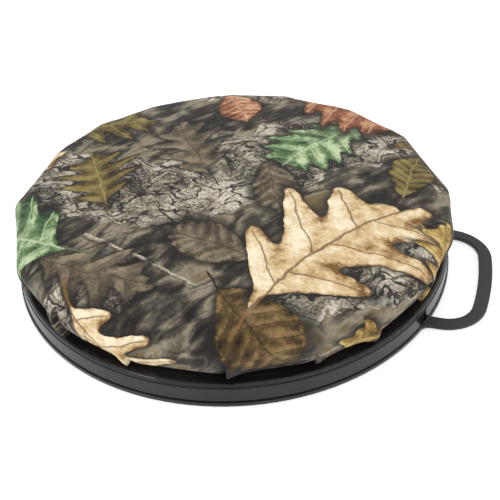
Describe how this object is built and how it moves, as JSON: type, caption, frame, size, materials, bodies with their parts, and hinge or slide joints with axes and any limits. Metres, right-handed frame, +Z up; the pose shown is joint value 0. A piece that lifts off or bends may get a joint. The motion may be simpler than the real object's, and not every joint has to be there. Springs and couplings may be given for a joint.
{
  "type": "swivel bucket seat",
  "caption": "Round crowned seat cushion that swivels on a press-on pail lid, with a flat strap handle standing out from the lid's lip.",
  "frame": {"origin": "on the swivel axis, in the plane of the lid's lower lip, at the mouth end of the plug wall", "axes": "+Z up along the swivel axis, +X along the middle of the carry handle, +Y completes a right-handed frame"},
  "size_m": [0.3484, 0.318, 0.0565],
  "materials": {
    "lid_plastic": "satin",
    "handle_plastic": "matte",
    "gasket_rubber": "matte",
    "race_acetal": "satin",
    "cage_nylon": "satin",
    "ball_steel": "polished",
    "zinc_steel": "satin",
    "board_wood": "matte",
    "pad_foam": "matte",
    "cover_print": "matte",
    "hem_elastic": "matte",
    "staple_wire": "satin"
  },
  "bodies": {
    "lid_base": {"bucket_lid": "lid_plastic", "carry_handle": "handle_plastic", "rim_gasket": "gasket_rubber", "lower_race": "race_acetal", "lower_race_screws": "zinc_steel", "lower_race_washers": "zinc_steel", "lower_race_nuts": "zinc_steel", "pivot_bush": "cage_nylon"},
    "cage": {"ball_cage": "cage_nylon", "bearing_balls": "ball_steel"},
    "seat": {"upper_race": "race_acetal", "upper_race_screws": "zinc_steel", "board_tee_nuts": "zinc_steel", "seat_board": "board_wood", "pivot_bolt": "zinc_steel", "pivot_washer": "zinc_steel", "pivot_locknut": "zinc_steel", "foam_pad": "pad_foam", "seat_cover": "cover_print", "hem_drawcord": "hem_elastic", "cover_staples": "staple_wire"}
  },
  "joints": [
    {"name": "swivel", "type": "hinge", "parent": "lid_base", "child": "seat", "pos_m": [0, 0, 0.015], "axis": [0, 0, 1], "continuous": true},
    {"name": "cage_orbit", "type": "hinge", "parent": "lid_base", "child": "cage", "pos_m": [0, 0, 0.015], "axis": [0, 0, 1], "continuous": true}
  ],
  "couplings": [
    {"joint": "cage_orbit", "follows": "swivel", "ratio": 0.5}
  ]
}
